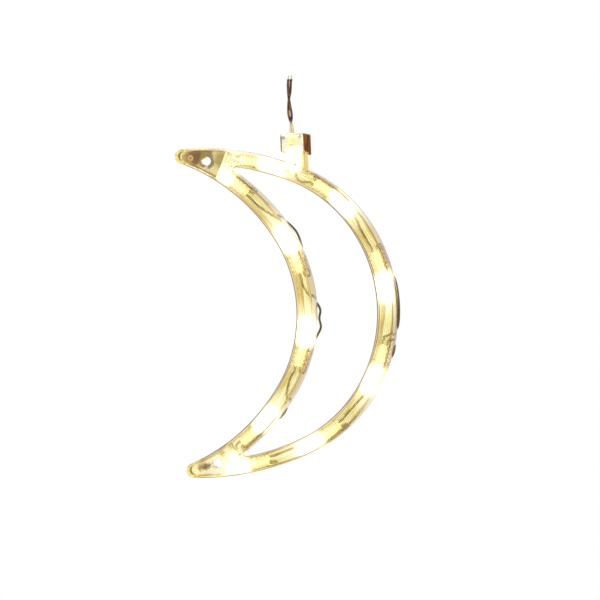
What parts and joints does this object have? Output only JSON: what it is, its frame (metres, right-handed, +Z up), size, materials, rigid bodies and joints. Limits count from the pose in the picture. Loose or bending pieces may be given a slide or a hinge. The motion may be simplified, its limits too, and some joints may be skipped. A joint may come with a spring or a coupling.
{
  "type": "crescent ornament with lamps",
  "caption": "Hanging crescent ornament: a clear open-backed moulding with small lamps in its two curved channels, on a short twisted lead.",
  "frame": {"origin": "middle of the lead's top ends, where the ornament hangs from its string", "axes": "+Z up along the lead, +X towards the crescent's bulging side, +Y to its back"},
  "size_m": [0.1188, 0.013, 0.2094],
  "materials": {
    "moulding": "clear, lit warm white from inside",
    "cap_cover": "smooth brown, slightly see-through",
    "collar": "matt brown",
    "lamp": "lit warm white",
    "sleeve": "clear",
    "wire": "clear brown insulation",
    "lead_core": "clear brown insulation",
    "bare_wire": "tinned strands"
  },
  "bodies": {
    "root": {"crescent_shell": "moulding", "cap_cover": "cap_cover", "strain_collar": "collar", "led_01": "lamp", "led_02": "lamp", "led_03": "lamp", "led_04": "lamp", "led_05": "lamp", "led_06": "lamp", "led_07": "lamp", "led_08": "lamp", "led_09": "lamp", "led_10": "lamp", "lamp_sleeve_01": "sleeve", "lamp_sleeve_02": "sleeve", "lamp_sleeve_03": "sleeve", "lamp_sleeve_04": "sleeve", "lamp_sleeve_05": "sleeve", "lamp_sleeve_06": "sleeve", "lamp_sleeve_07": "sleeve", "lamp_sleeve_08": "sleeve", "lamp_sleeve_09": "sleeve", "lamp_sleeve_10": "sleeve", "loop_wire_01": "wire", "loop_wire_02": "wire", "loop_wire_03": "wire", "loop_wire_04": "wire", "loop_wire_05": "wire", "loop_wire_06": "wire", "loop_wire_07": "wire", "loop_wire_08": "wire", "loop_wire_09": "wire", "loop_wire_10": "wire", "loop_wire_11": "wire", "lead_core_a": "lead_core", "lead_core_b": "lead_core", "bare_tip_a": "bare_wire", "bare_tip_b": "bare_wire"}
  },
  "joints": []
}
